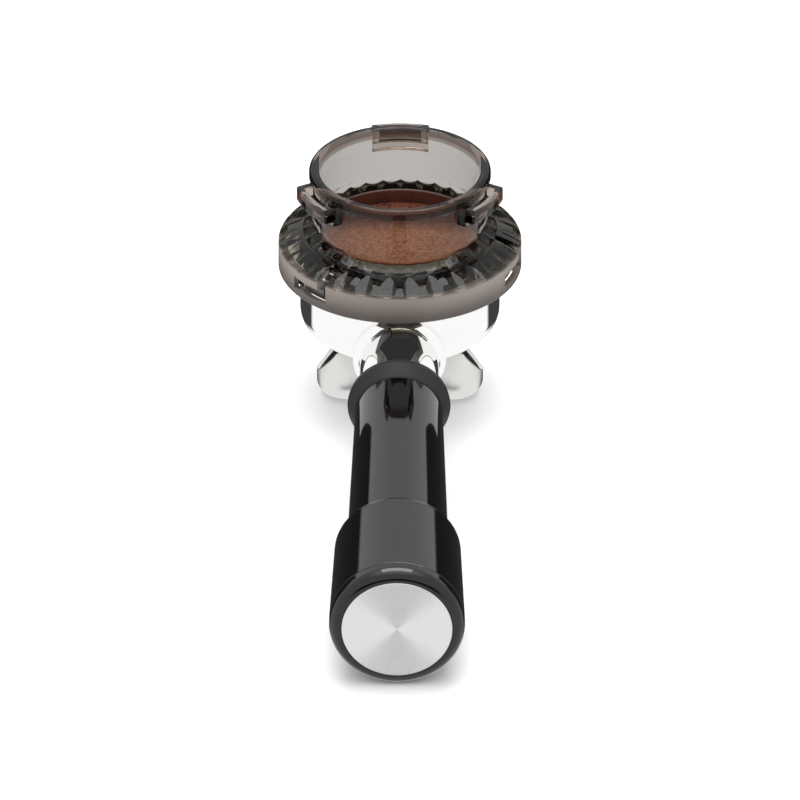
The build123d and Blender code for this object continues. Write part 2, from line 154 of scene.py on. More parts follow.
class Shader:
    """Builds one material's or the world's node tree."""

    def __init__(self, tree: bpy.types.NodeTree) -> None:
        """Empties the tree and keeps it.

        Args:
            tree: The node tree to build in.
        """
        tree.nodes.clear()
        self.tree = tree

    def node(
        self,
        kind: str,
        settings: Optional[Mapping[str, object]] = None,
        inputs: Optional[Mapping[Union[int, str], object]] = None,
        output: Union[int, str] = 0,
    ) -> Channel:
        """Adds a node with its settings made first, then its sockets.

        Args:
            kind: The node's type name.
            settings: The node's own properties, such as a Math node's operation.
            inputs: Values or channels by socket name or number.
            output: Which result to hand back.

        Returns:
            The chosen result.
        """
        made = self.tree.nodes.new(kind)
        for name, value in (settings or {}).items():
            setattr(made, name, value)
        for name, value in (inputs or {}).items():
            if isinstance(value, Channel):
                self.tree.links.new(value.socket, made.inputs[name])
            else:
                made.inputs[name].default_value = value
        return Channel(self, made.outputs[output])

    def place(self) -> Channel:
        """Object coordinates: metres from the bowl's axis at the spout's foot."""
        return self.node("ShaderNodeTexCoord", output="Object")

    def axes(self, vector: Channel) -> tuple[Channel, Channel, Channel]:
        """The X, Y and Z parts of a vector.

        Args:
            vector: The vector to split.

        Returns:
            Its three parts.
        """
        split = self.node("ShaderNodeSeparateXYZ", inputs={0: vector})
        return tuple(Channel(self, output) for output in split.socket.node.outputs)

    def reach(self, x: Channel, y: Channel) -> Channel:
        """Distance from the bowl's axis: the square root of the sum of the squares.

        Args:
            x: Place across the handle.
            y: Place along the handle.

        Returns:
            The distance.
        """
        return self.node("ShaderNodeMath", {"operation": "SQRT"}, {0: x * x + y * y})

    def noise(self, vector: Channel, scale: float, detail: float = 2.0, rough: float = 0.5) -> Channel:
        """Noise between 0 and 1.

        Args:
            vector: Where to read it.
            scale: Features per metre.
            detail: How many finer layers are added.
            rough: How strong the finer layers are.

        Returns:
            The noise value.
        """
        inputs = {"Vector": vector, "Scale": scale, "Detail": detail, "Roughness": rough}
        return self.node("ShaderNodeTexNoise", inputs=inputs)

    def blend(self, factor: Value, low: Union[Channel, Colour], high: Union[Channel, Colour]) -> Channel:
        """Mixes two colours.

        Args:
            factor: 0 gives low and 1 gives high.
            low: First colour.
            high: Second colour.

        Returns:
            The mixed colour.
        """
        return self.node("ShaderNodeMix", {"data_type": "RGBA"}, {0: factor, 6: low, 7: high}, 2)

    def bump(self, height: Channel, strength: float, depth: float) -> Channel:
        """Normal from a height.

        Args:
            height: Height between 0 and 1.
            strength: How much of the relief is felt.
            depth: Relief in metres.

        Returns:
            The bumped normal.
        """
        return self.node("ShaderNodeBump", inputs={"Height": height, "Strength": strength, "Distance": depth})

    def finish(self, surface: Channel, volume: Optional[Channel] = None) -> None:
        """Links the shaders to the material's output.

        Args:
            surface: Shader of the skin.
            volume: Shader of the inside, if light passes through.
        """
        made = self.tree.nodes.new("ShaderNodeOutputMaterial")
        self.tree.links.new(surface.socket, made.inputs["Surface"])
        if volume is not None:
            self.tree.links.new(volume.socket, made.inputs["Volume"])


# ---- finishes ----------------------------------------------------------------------------------


def scaled(colour: Colour, share: float) -> Colour:
    """A colour made darker or lighter.

    Args:
        colour: The colour to change.
        share: What each of its parts is multiplied by.

    Returns:
        The new colour, opaque.
    """
    red, green, blue, _ = colour
    return (share * red, share * green, share * blue, 1.0)


@dataclass(frozen=True)
class Finish:
    """A finish that can be put on pieces; subclasses say how its shader is built."""

    name: str

    def build(self, shader: Shader) -> None:
        """Fills the shader's tree.

        Args:
            shader: The tree to build in.
        """
        raise NotImplementedError

    def material(self) -> bpy.types.Material:
        """The material of this finish, made on first use."""
        title = f"{self.name}_finish"
        made = bpy.data.materials.get(title)
        if made is None:
            made = bpy.data.materials.new(title)
            made.use_nodes = True
            self.build(Shader(made.node_tree))
        return made


@dataclass(frozen=True)
class PlatedMetal(Finish):
    """Bright plating with faint wipe marks and a slight waviness from polishing."""

    colour: Colour = (0.93, 0.93, 0.925, 1.0)
    gloss: float = 0.03
    wipe: float = 0.05
    wave: float = 0.00002
    marked: float = 0.94

    def painted_shade_share(self, shader: Shader, place: Channel) -> Value:
        """Where the plating is painted dark and dull as painted shade; plain plating has none.

        Args:
            shader: The tree to build in.
            place: Object coordinates.

        Returns:
            0 where it is left bright and 1 where it is painted dark.
        """
        return 0.0

    def build(self, shader: Shader) -> None:
        """Fills the shader's tree.

        Args:
            shader: The tree to build in.
        """
        place = shader.place()
        # Painted shade: where this is 1 the plating's colour goes dark and dull. It stands in for shade, not
        # for wear.
        painted_shade = self.painted_shade_share(shader, place)
        marks = shader.noise(place, 90.0, 4.0, 0.6)
        waves = shader.noise(place, 60.0, 1.0)
        plate = shader.blend(marks, scaled(self.colour, self.marked), self.colour)
        surface = shader.node(
            "ShaderNodeBsdfPrincipled",
            inputs={
                "Base Color": shader.blend(painted_shade, plate, PAINTED_SHADE_METAL),
                "Metallic": 1.0,
                "Roughness": self.gloss + marks.smooth(0.45, 0.8) * self.wipe + painted_shade * PAINTED_SHADE_ROUGHNESS,
                "Normal": shader.bump(waves, 0.5, self.wave),
            },
        )
        shader.finish(surface)


@dataclass(frozen=True)
class BowlPlate(PlatedMetal):
    """Bright plating with the ears painted dark and duller, as painted shade and dark reflection, though they
    are plated like the bowl.
    """

    ear_r: float = 34.1 * MM
    ear_z: float = 51.4 * MM
    ear_height: float = 4.6 * MM

    def painted_shade_share(self, shader: Shader, place: Channel) -> Value:
        """Painted dark outside the bowl's wall, at the height of the ears.

        Args:
            shader: The tree to build in.
            place: Object coordinates.

        Returns:
            1 on the ears, else 0.
        """
        x, y, z = shader.axes(place)
        return (shader.reach(x, y) > self.ear_r) * (z > self.ear_z) * (z < self.ear_z + self.ear_height)


@dataclass(frozen=True)
class BrushedMetal(Finish):
    """Metal with fine lines along one axis."""

    colour: Colour = (0.72, 0.70, 0.67, 1.0)
    stretch: tuple[float, float, float] = (60.0, 900.0, 2500.0)
    gloss: float = 0.28
    groove: float = 0.8

    def build(self, shader: Shader) -> None:
        """Fills the shader's tree.

        Args:
            shader: The tree to build in.
        """
        place = shader.place()
        lines = shader.node("ShaderNodeMapping", inputs={"Vector": place, "Scale": self.stretch})
        grain = shader.noise(lines, 1.0, 3.0, 0.6)
        surface = shader.node(
            "ShaderNodeBsdfPrincipled",
            inputs={
                "Base Color": shader.blend(grain, scaled(self.colour, self.groove), self.colour),
                "Metallic": 1.0,
                "Roughness": self.gloss - 0.06 + grain * 0.14,
                "Normal": shader.bump(grain, 0.25, 0.00003),
            },
        )
        shader.finish(surface)


@dataclass(frozen=True)
class GlossPlastic(Finish):
    """Glossy dark moulding with faint handling marks and a very slight moulded waviness."""

    colour: Colour = (0.0012, 0.0012, 0.0013, 1.0)
    handled: Colour = (0.0032, 0.0032, 0.0033, 1.0)
    gloss: float = 0.045

    def build(self, shader: Shader) -> None:
        """Fills the shader's tree.

        Args:
            shader: The tree to build in.
        """
        place = shader.place()
        marks = shader.noise(place, 140.0, 5.0, 0.65)
        waves = shader.noise(place, 45.0, 1.0)
        surface = shader.node(
            "ShaderNodeBsdfPrincipled",
            inputs={
                "Base Color": shader.blend(marks.smooth(0.5, 0.9), self.colour, self.handled),
                "Roughness": self.gloss + marks.smooth(0.5, 0.85) * 0.03,
                "IOR": 1.5,
                "Normal": shader.bump(waves, 0.4, 0.00003),
            },
        )
        shader.finish(surface)


@dataclass(frozen=True)
class MattPlastic(Finish):
    """Matt moulding or rubber with a fine even texture."""

    colour: Colour = (0.035, 0.034, 0.034, 1.0)
    gloss: float = 0.55
    grain: float = 2600.0
    relief: float = 0.00003
    faded: float = 1.35

    def build(self, shader: Shader) -> None:
        """Fills the shader's tree.

        Args:
            shader: The tree to build in.
        """
        texture = shader.noise(shader.place(), self.grain, 2.0, 0.5)
        patches = shader.noise(shader.place(), 120.0, 3.0, 0.5)
        surface = shader.node(
            "ShaderNodeBsdfPrincipled",
            inputs={
                "Base Color": shader.blend(patches, self.colour, scaled(self.colour, self.faded)),
                "Roughness": self.gloss + patches * 0.1,
                "Specular IOR Level": 0.14,
                "Normal": shader.bump(texture, 0.35, self.relief),
            },
        )
        shader.finish(surface)


@dataclass(frozen=True)
class SmokedPlastic(Finish):
    """Clear plastic with a warm grey tint and a milky frosted skirt; the darker shoulder, rim and lugs and
    the skirt's darkening towards its foot are painted shade, set by height and distance from the axis.
    """

    tint: Colour = (0.47, 0.40, 0.35, 1.0)
    density: float = 150.0
    gloss: float = 0.015
    wall: Colour = (0.352, 0.355, 0.348, 1.0)
    skirt: Colour = (0.56, 0.505, 0.455, 1.0)
    # Painted shade: the darker colours for the skirt's foot, shoulder, rim and lugs stand in for shade, not
    # for a different tint of the plastic.
    skirt_foot_painted_shade: Colour = (0.17, 0.155, 0.15, 1.0)
    shoulder: Colour = (0.075, 0.07, 0.052, 1.0)
    rim: Colour = (0.13, 0.11, 0.098, 1.0)
    lug_painted_shade: Colour = (0.34, 0.305, 0.28, 1.0)
    shoulder_z: tuple[float, float] = (59.4 * MM, 65.5 * MM)
    foot_z: float = 49.2 * MM
    rim_z: float = 83.0 * MM
    throat_r: float = 29.75 * MM
    rim_reach: float = 1.6 * MM
    lug_z: float = 76.5 * MM
    skirt_frost: float = 0.34
    frost_fade: float = 1.2 * MM
    index: float = 1.3
    haze: Colour = (0.33, 0.29, 0.26, 1.0)
    # Painted shade: the milky skirt's darker colour at its foot.
    haze_foot_painted_shade: Colour = (0.11, 0.095, 0.085, 1.0)
    haze_share: float = 0.72

    def shade(self, shader: Shader) -> Channel:
        """The tint by height and by distance from the axis, with painted shade on the shoulder, rim and lugs
        and towards the skirt's foot.

        Args:
            shader: The tree to build in.

        Returns:
            The colour that light takes on as it passes, painted shade included.
        """
        x, y, z = shader.axes(shader.place())
        reach = shader.reach(x, y)
        low, high = self.shoulder_z
        # Painted shade: darker towards the skirt's foot, and dark on the shoulder, rim and lugs.
        skirt = shader.blend(z.smooth(self.foot_z, low), self.skirt_foot_painted_shade, self.skirt)
        colour = shader.blend(z.smooth(low - 0.4 * MM, low + 0.4 * MM), skirt, self.shoulder)
        colour = shader.blend(z.smooth(high - 0.8 * MM, high + 0.8 * MM), colour, self.wall)
        lug_painted_shade = (reach > self.throat_r) * (z > self.lug_z)
        edge = (z > self.rim_z) * (reach < self.throat_r + self.rim_reach)
        return shader.blend(edge, shader.blend(lug_painted_shade, colour, self.lug_painted_shade), self.rim)

    def build(self, shader: Shader) -> None:
        """Fills the shader's tree.

        Args:
            shader: The tree to build in.
        """
        place = shader.place()
        waves = shader.noise(place, 70.0, 1.0)
        marks = shader.noise(place, 160.0, 4.0, 0.6)
        height = shader.axes(place)[2]
        skirt_top = self.shoulder_z[0]
        frost = 1.0 - height.smooth(skirt_top - self.frost_fade, skirt_top)
        # Painted shade: the milky layer darkens towards the skirt's foot.
        haze_with_painted_shade = shader.blend(height.smooth(self.foot_z, skirt_top), self.haze_foot_painted_shade, self.haze)
        surface = shader.node(
            "ShaderNodeBsdfPrincipled",
            inputs={
                "Base Color": self.shade(shader),
                "Roughness": self.gloss + marks.smooth(0.55, 0.9) * 0.02 + frost * self.skirt_frost,
                "IOR": self.index,
                "Specular IOR Level": 0.14,
                "Transmission Weight": 1.0,
                "Normal": shader.bump(waves, 0.3, 0.00002),
            },
        )
        milky = shader.node(
            "ShaderNodeBsdfPrincipled",
            inputs={"Base Color": haze_with_painted_shade, "Roughness": 0.5, "Specular IOR Level": 0.2},
        )
        skin = shader.node("ShaderNodeMixShader", inputs={0: frost * self.haze_share, 1: surface, 2: milky})
        depth = {"Color": self.tint, "Density": self.density}
        inside = shader.node("ShaderNodeVolumeAbsorption", inputs=depth)
        shader.finish(skin, inside)


@dataclass(frozen=True)
class GroundCoffee(Finish):
    """Ground coffee: dark husk and light chaff in a red-brown mass, with painted light making it paler
    towards the handle.
    """

    dark: Colour = (0.035, 0.010, 0.004, 1.0)
    middle: Colour = (0.175, 0.042, 0.014, 1.0)
    light: Colour = (0.36, 0.125, 0.048, 1.0)
    # Painted light: the pale colour towards the handle. It fades into the darker mass between these two
    # places along the handle.
    painted_light_front: Colour = (0.58, 0.27, 0.16, 1.0)
    painted_light_y: tuple[float, float] = (4.0 * MM, 17.0 * MM)
    grain: float = 1400.0

    def build(self, shader: Shader) -> None:
        """Fills the shader's tree.

        Args:
            shader: The tree to build in.
        """
        place = shader.place()
        cells = {"Vector": place, "Scale": self.grain}
        grains = shader.node("ShaderNodeTexVoronoi", {"feature": "F1"}, cells, "Color")
        tone = shader.axes(grains)[0]
        fleck = shader.noise(place, 700.0, 4.0, 0.65)
        colour = shader.blend(tone.smooth(0.0, 0.85), self.dark, self.middle)
        colour = shader.blend(fleck.smooth(0.6, 0.78), colour, self.light)
        # Painted light: pale towards the handle, with the darker mass towards the back.
        back = shader.axes(place)[1].smooth(*self.painted_light_y)
        pale = shader.blend(tone.smooth(0.0, 0.9), self.light, self.painted_light_front)
        colour = shader.blend(back, pale, colour)
        surface = shader.node(
            "ShaderNodeBsdfPrincipled",
            inputs={
                "Base Color": colour,
                "Roughness": 0.9,
                "Normal": shader.bump(fleck, 0.8, 0.0003),
            },
        )
        shader.finish(surface)


@dataclass(frozen=True)
class SpunMetal(Finish):
    """Turned metal face with fine rings about the handle's axis."""

    colour: Colour = (0.80, 0.80, 0.81, 1.0)
    gloss: float = 0.17
    groove: float = 0.82
    rings: float = 160.0

    def build(self, shader: Shader) -> None:
        """Fills the shader's tree.

        Args:
            shader: The tree to build in.
        """
        across = shader.axes(shader.node("ShaderNodeUVMap"))[0]
        lines = {"W": across, "Scale": self.rings, "Detail": 4.0}
        fine = shader.node("ShaderNodeTexNoise", {"noise_dimensions": "1D"}, lines)
        dark = scaled(self.colour, self.groove)
        surface = shader.node(
            "ShaderNodeBsdfPrincipled",
            inputs={
                "Base Color": shader.blend(fine.smooth(0.3, 0.7), dark, self.colour),
                "Metallic": 1.0,
                "Roughness": self.gloss + fine * 0.08,
            },
        )
        shader.finish(surface)


@dataclass(frozen=True)
class PaleBench(Finish):
    """Plain pale bench top."""

    colour: Colour = (0.86, 0.86, 0.86, 1.0)

    def build(self, shader: Shader) -> None:
        """Fills the shader's tree.

        Args:
            shader: The tree to build in.
        """
        look = {"Base Color": self.colour, "Roughness": 0.8}
        shader.finish(shader.node("ShaderNodeBsdfPrincipled", inputs=look))


@dataclass(frozen=True)
class ReflectionCard(Finish):
    """Evenly glowing card that the studio shows only in reflections: a painted reflection of light, or of
    dark when it is black.
    """

    strength: float = 1.05

    def build(self, shader: Shader) -> None:
        """Fills the shader's tree.

        Args:
            shader: The tree to build in.
        """
        glow = {"Color": WHITE, "Strength": self.strength}
        shader.finish(shader.node("ShaderNodeEmission", inputs=glow))


CHROME = BowlPlate("bowl_plate")
# Painted shade: the spout's plating is a darker grey than the bowl's. It stands in for the shade on its lower
# faces.
PAINTED_SHADE_SPOUT_CHROME = PlatedMetal("spout_plate_painted_shade", (0.74, 0.735, 0.72, 1.0), 0.30, 0.10, 0.00003)
# Painted shade and reflection: the basket's steel gets a dark red-brown colour. It stands in for the shade
# inside the basket and the coffee it reflects.
PAINTED_SHADE_BASKET_STEEL = BrushedMetal("pressed_steel_painted_shade", (0.30, 0.225, 0.21, 1.0), (400.0, 400.0, 60.0), 0.30)
BRIGHT_STEEL = BrushedMetal("bright_steel", (0.62, 0.62, 0.63, 1.0), (700.0, 700.0, 700.0), 0.25)
CORE_ALLOY = BrushedMetal("core_alloy", (0.66, 0.66, 0.67, 1.0), (700.0, 80.0, 700.0), 0.3)
GLOSS_BLACK = GlossPlastic("gloss_black")
MATT_BLACK = MattPlastic("matt_black", (0.016, 0.0155, 0.0155, 1.0), 0.5)
DARK_MOULDING = MattPlastic("dark_moulding", (0.03, 0.03, 0.03, 1.0), 0.45, 1500.0)
SEAL_RUBBER = MattPlastic("seal_rubber", (0.02, 0.02, 0.02, 1.0), 0.7, 1800.0)
SMOKED = SmokedPlastic("smoked_plastic")
COFFEE = GroundCoffee("ground_coffee")
SPUN = SpunMetal("spun_metal")
BENCH = PaleBench("pale_bench")
# Painted reflections: cards seen only in reflections. The white ones paint light on the bowl's sides, and the
# black flag paints a dark reflection on the neck.
WHITE_REFLECTION_CARD = ReflectionCard("white_reflection_card")
DARK_REFLECTION_FLAG = ReflectionCard("black_reflection_flag", 0.03)

NODE_FINISHES: dict[str, Finish] = {
    "portafilter_bowl": CHROME,
    "filter_basket": PAINTED_SHADE_BASKET_STEEL,
    "basket_spring": BRIGHT_STEEL,
    "spout_screw": BRIGHT_STEEL,
    "tie_rod": BRIGHT_STEEL,
    "flat_washer": BRIGHT_STEEL,
    "spring_washer": BRIGHT_STEEL,
    "tie_nut": BRIGHT_STEEL,
    "funnel": SMOKED,
    "bowl_liner": DARK_MOULDING,
    "spout_gasket": SEAL_RUBBER,
    "end_disc_pad": SEAL_RUBBER,
    "handle_ring": MATT_BLACK,
    "handle_core": CORE_ALLOY,
    "handle_sleeve": GLOSS_BLACK,
    "handle_grip": GLOSS_BLACK,
    "handle_end_cap": GLOSS_BLACK,
}


# ---- surfaces ----------------------------------------------------------------------------------


def surface_piece(
    name: str, points: np.ndarray, ring: bool, uv: Optional[np.ndarray] = None
) -> bpy.types.Object:
    """Makes an object from a grid of points, one quad for each cell.

    Args:
        name: The piece's name.
        points: Rows by columns by 3, in metres.
        ring: Whether the last column joins the first.
        uv: Rows by columns by 2, or None for no UV map.

    Returns:
        The new object, smooth shaded.
    """
    rows, columns, _ = points.shape
    cells = columns if ring else columns - 1
    row, column = np.meshgrid(np.arange(rows - 1), np.arange(cells), indexing="ij")
    right = (column + 1) % columns
    near, far = row * columns, (row + 1) * columns
    quads = np.stack([near + column, near + right, far + right, far + column], axis=-1).reshape(-1, 4)
    mesh = bpy.data.meshes.new(name)
    mesh.vertices.add(rows * columns)
    mesh.vertices.foreach_set("co", points.reshape(-1))
    mesh.loops.add(quads.size)
    mesh.loops.foreach_set("vertex_index", quads.reshape(-1).astype(np.int32))
    mesh.polygons.add(len(quads))
    mesh.polygons.foreach_set("loop_start", np.arange(0, quads.size, 4, dtype=np.int32))
    mesh.update(calc_edges=True)
    if uv is not None:
        layer = mesh.uv_layers.new(name="surface")
        layer.data.foreach_set("uv", uv.reshape(-1, 2)[quads.reshape(-1)].reshape(-1))
    mesh.shade_smooth()
    piece = bpy.data.objects.new(name, mesh)
    bpy.context.scene.collection.objects.link(piece)
    return piece


def weld(piece: bpy.types.Object, reach: float = 1e-6) -> None:
    """Joins points that lie together, such as a pole's, and drops the faces that vanish.

    Args:
        piece: The piece to weld.
        reach: How near points must be to be joined, in metres.
    """
    mesh = bmesh.new()
    mesh.from_mesh(piece.data)
    bmesh.ops.remove_doubles(mesh, verts=mesh.verts, dist=reach)
    bmesh.ops.dissolve_degenerate(mesh, edges=mesh.edges, dist=reach)
    bmesh.ops.recalc_face_normals(mesh, faces=mesh.faces)
    mesh.to_mesh(piece.data)
    mesh.free()


def rounded_profile(
    corners: Sequence[tuple[float, float]], rounds: Sequence[float], steps: int = 8
) -> np.ndarray:
    """Open outline through the corners, with each inner corner rounded by an arc.

    Formula: at a rounded corner the arc touches both sides, starting at round over the tangent of
    half the corner's angle before it, and its points turn evenly from one side's normal to the other's.

    Args:
        corners: Radius and height of each corner.
        rounds: Radius of the rounding at each corner; 0 keeps it sharp.
        steps: Points in each arc.

    Returns:
        Points by 2.
    """
    points = [np.array(corners[0])]
    for before, corner, after, round_r in zip(corners, corners[1:], corners[2:], rounds[1:]):
        place = np.array(corner)
        if round_r == 0.0:
            points.append(place)
            continue
        back, ahead = np.array(before) - place, np.array(after) - place
        back, ahead = back / np.linalg.norm(back), ahead / np.linalg.norm(ahead)
        half = math.acos(float(np.clip(back @ ahead, -1.0, 1.0))) / 2
        centre = place + (back + ahead) / np.linalg.norm(back + ahead) * round_r / math.sin(half)
        start = place + back * round_r / math.tan(half) - centre
        end = place + ahead * round_r / math.tan(half) - centre
        sweep = math.pi - 2 * half
        share = np.linspace(0.0, 1.0, steps)[:, None]
        arc = (np.sin((1 - share) * sweep) * start + np.sin(share * sweep) * end) / math.sin(sweep)
        points.extend(centre + arc)
    points.append(np.array(corners[-1]))
    return np.array(points)


def turned_piece(name: str, profile: np.ndarray, spokes: int) -> bpy.types.Object:
    """Turns a profile about Z.

    Formula: each profile point's radius goes round the axis at its own height.

    Args:
        name: The piece's name.
        profile: Radius and height of each point.
        spokes: Steps round the axis.

    Returns:
        The welded piece.
    """
    turn = np.linspace(0.0, 2 * math.pi, spokes, endpoint=False)
    r, z = profile[:, :1], profile[:, 1:]
    points = np.stack(np.broadcast_arrays(r * np.cos(turn), r * np.sin(turn), z), axis=-1)
    piece = surface_piece(name, points, ring=True)
    weld(piece)
    return piece


def value_noise(x: np.ndarray, y: np.ndarray, seed: int) -> np.ndarray:
    """Smooth noise on a square lattice: random heights at whole numbers, eased between them.

    Args:
        x: First coordinate, in lattice cells.
        y: Second coordinate, in lattice cells.
        seed: Chooses the random heights.

    Returns:
        Heights between -1 and 1, shaped like x.
    """
    size = 257
    table = np.random.default_rng(seed).uniform(-1.0, 1.0, (size, size))
    cell_x, cell_y = np.floor(x).astype(int), np.floor(y).astype(int)
    part_x, part_y = x - cell_x, y - cell_y
    ease_x, ease_y = part_x**2 * (3 - 2 * part_x), part_y**2 * (3 - 2 * part_y)
    left, right = cell_x % size, (cell_x + 1) % size
    near, far = cell_y % size, (cell_y + 1) % size
    low = table[left, near] * (1 - ease_x) + table[right, near] * ease_x
    high = table[left, far] * (1 - ease_x) + table[right, far] * ease_x
    return low * (1 - ease_y) + high * ease_y


def dress(piece: bpy.types.Object, finish: Finish) -> None:
    """Gives every slot of a piece one finish.

    Args:
        piece: The piece to dress.
        finish: Its finish.
    """
    if not piece.data.materials:
        piece.data.materials.append(finish.material())
    for slot in piece.material_slots:
        slot.material = finish.material()


def report(piece: bpy.types.Object, words: str) -> None:
    """Logs a piece and how many faces it has.

    Args:
        piece: The piece that is ready.
        words: What it is.
    """
    log.info("%s: %s, %d faces", piece.name, words, len(piece.data.polygons))


# ---- sub-assemblies ------------------------------------------------------------------------------


@dataclass
class GroundsHeap:
    """The dose of coffee in the basket, as a grid of rings with a crumbly top."""

    node: str = "coffee_grounds"
    rings: int = 150
    spokes: int = 420
    mound: float = 0.7 * MM
    crumbs: float = 0.32 * MM
    wall_fade: float = 12.0
    seat_share: float = 0.88

    def build(self) -> None:
        """Makes the heap and welds its two poles.

        Formula: ring radii grow from the middle to the wall; height is the top level plus a shallow
        dome that is zero at the wall, plus three layers of lattice noise that fade at the wall;
        then the side runs straight down and the bottom closes to the middle.
        """
        low, high = (np.array(corner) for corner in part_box(self.node))
        radius = (high[0] - low[0]) / 2
        share = np.linspace(0.0, 1.0, self.rings)[:, None]
        turn = np.linspace(0.0, 2 * math.pi, self.spokes, endpoint=False)[None, :]
        x, y = share * radius * np.cos(turn), share * radius * np.sin(turn)
        relief = sum(
            value_noise(x / cell, y / cell, seed) * weight
            for cell, seed, weight in ((0.6 * MM, 3, 0.5), (1.4 * MM, 5, 0.35), (6.0 * MM, 8, 0.5))
        )
        fade = np.clip((1 - share) * self.wall_fade, 0, 1)
        top = high[2] - self.crumbs - self.mound * share**2 + relief * self.crumbs * fade
        rings = [np.stack([x, y, top + 0 * turn], axis=-1)]
        for rise, reach in ((3.0 * MM, 1.0), (0.6 * MM, 0.96), (0.0, self.seat_share), (0.0, 0.0)):
            ring = np.stack([reach * x[-1], reach * y[-1], np.full(self.spokes, low[2] + rise)], axis=-1)
            rings.append(ring[None])
        piece = surface_piece("coffee_heap", np.concatenate(rings), ring=True)
        weld(piece)
        dress(piece, COFFEE)
        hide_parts(self.node)
        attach(piece, Body.BASKET.value)
        report(piece, "ground coffee")


@dataclass
class EndDisc:
    """The spun disc in the handle's end, with real turned rings that fan the light."""

    node: str = "handle_end_disc"
    drop: float = 3.35
    radius: float = 18.3 * MM
    thickness: float = 1.0 * MM
    edge: float = 0.3 * MM
    groove_pitch: float = 0.42 * MM
    groove_depth: float = 0.046 * MM
    steps: int = 9
    spokes: int = 180

    def profile(self) -> tuple[np.ndarray, np.ndarray]:
        """Radius and depth below the face, from the middle of the face to the middle of the back.

        Formula: the face is a cosine wave of the groove pitch and depth; a quarter circle rounds
        the rim; then the side and the flat back.

        Returns:
            Radii and depths in metres.
        """
        flat = self.radius - self.edge
        grooves = int(round(flat / self.groove_pitch))
        r = np.linspace(0.0, flat, grooves * self.steps + 1)
        face = self.groove_depth * (1 - np.cos(2 * math.pi * r * grooves / flat)) / 2
        turn = np.linspace(0.0, math.pi / 2, 6)[1:]
        rim_r = flat + self.edge * np.sin(turn)
        rim = self.edge * (1 - np.cos(turn))
        back_r = np.array([self.radius, self.radius, 0.0])
        back = np.array([self.thickness * 0.9, self.thickness, self.thickness])
        return np.concatenate([r, rim_r, back_r]), np.concatenate([face, rim, back])

    def build(self) -> None:
        """Makes the disc and welds its poles.

        Formula: each profile point's radius goes round the handle's axis at its own depth.
        """
        low, high = (np.array(corner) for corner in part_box(self.node))
        slope = math.radians(self.drop)
        out = np.array([0.0, -math.cos(slope), -math.sin(slope)])
        up = np.array([0.0, -math.sin(slope), math.cos(slope)])
        face_centre = (low + high) / 2 + out * self.thickness / 2
        r, depth = self.profile()
        turn = np.linspace(0.0, 2 * math.pi, self.spokes, endpoint=False)
        spoke = np.cos(turn)[:, None] * np.array([1.0, 0.0, 0.0]) + np.sin(turn)[:, None] * up
        points = face_centre + r[:, None, None] * spoke[None] - depth[:, None, None] * out
        across, around = r[:, None] / self.radius, turn[None] / (2 * math.pi)
        uv = np.stack(np.broadcast_arrays(across, around), axis=-1)
        piece = surface_piece("spun_disc", points, ring=True, uv=uv)
        weld(piece)
        dress(piece, SPUN)
        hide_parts(self.node)
        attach(piece, Body.PORTAFILTER.value)
        report(piece, "turned metal disc")


